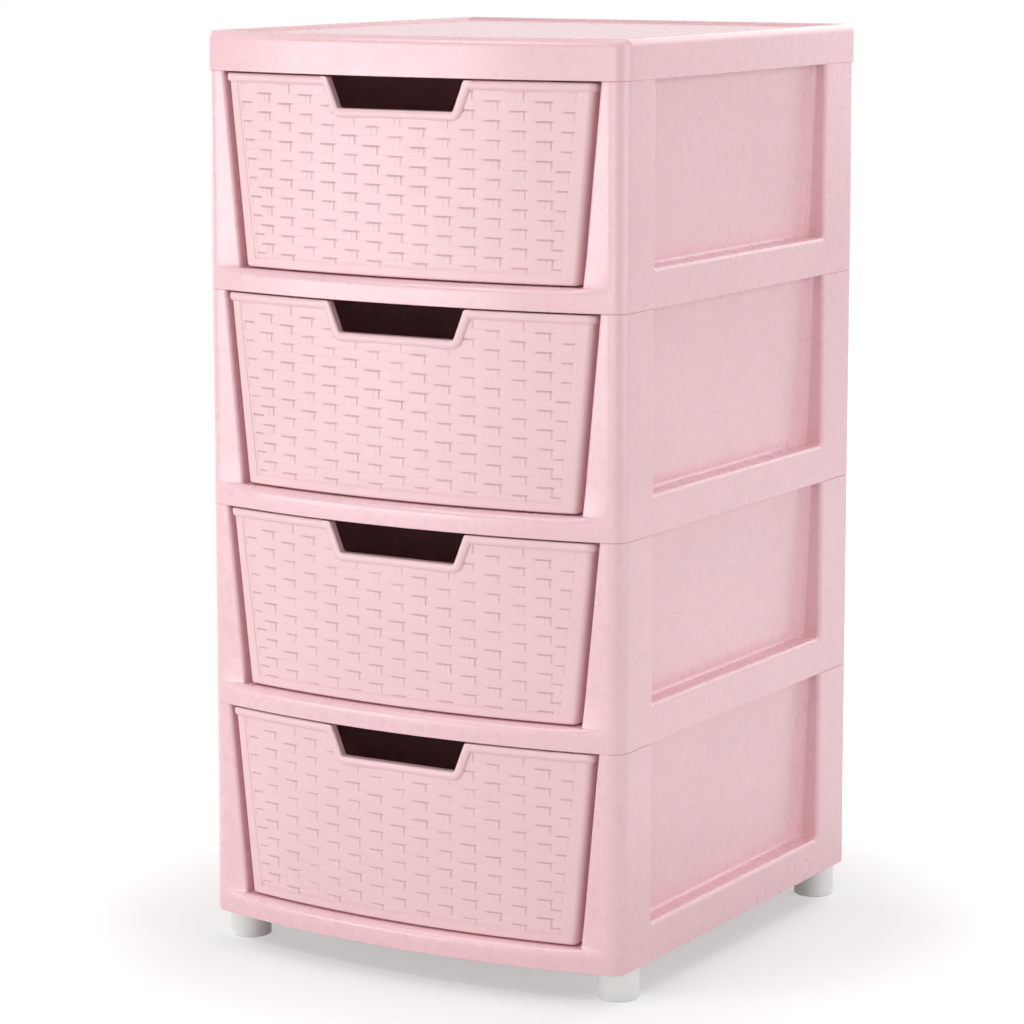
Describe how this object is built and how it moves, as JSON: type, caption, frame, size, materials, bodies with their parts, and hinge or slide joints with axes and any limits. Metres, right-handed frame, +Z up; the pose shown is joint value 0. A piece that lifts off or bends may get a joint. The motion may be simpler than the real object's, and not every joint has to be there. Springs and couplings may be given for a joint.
{
  "type": "plastic drawer tower",
  "caption": "Free-standing tower of bow-fronted plastic drawers in stacked open frames, with woven-look faces, hand holes, a tray-topped cover and push-in feet.",
  "frame": {"origin": "on the floor, in the middle of the tower's width and depth", "axes": "+Z up; the drawers' faces look along -Y; +X is to the right for someone facing the drawers"},
  "size_m": [0.403, 0.448, 0.78],
  "materials": {
    "frame_pink": "satin",
    "drawer_pink": "satin",
    "foot_white": "satin"
  },
  "bodies": {
    "tower": {"top_cover": "frame_pink", "tier_1": "frame_pink", "tier_2": "frame_pink", "tier_3": "frame_pink", "tier_4": "frame_pink", "foot_front_left": "foot_white", "foot_front_right": "foot_white", "foot_back_left": "foot_white", "foot_back_right": "foot_white"},
    "drawer_1": {"drawer_1": "drawer_pink"},
    "drawer_2": {"drawer_2": "drawer_pink"},
    "drawer_3": {"drawer_3": "drawer_pink"},
    "drawer_4": {"drawer_4": "drawer_pink"}
  },
  "joints": [
    {"name": "drawer_1_slide", "type": "slide", "parent": "tower", "child": "drawer_1", "axis": [0, -1, 0], "range_m": [0, 0.28]},
    {"name": "drawer_2_slide", "type": "slide", "parent": "tower", "child": "drawer_2", "axis": [0, -1, 0], "range_m": [0, 0.28]},
    {"name": "drawer_3_slide", "type": "slide", "parent": "tower", "child": "drawer_3", "axis": [0, -1, 0], "range_m": [0, 0.28]},
    {"name": "drawer_4_slide", "type": "slide", "parent": "tower", "child": "drawer_4", "axis": [0, -1, 0], "range_m": [0, 0.28]}
  ]
}
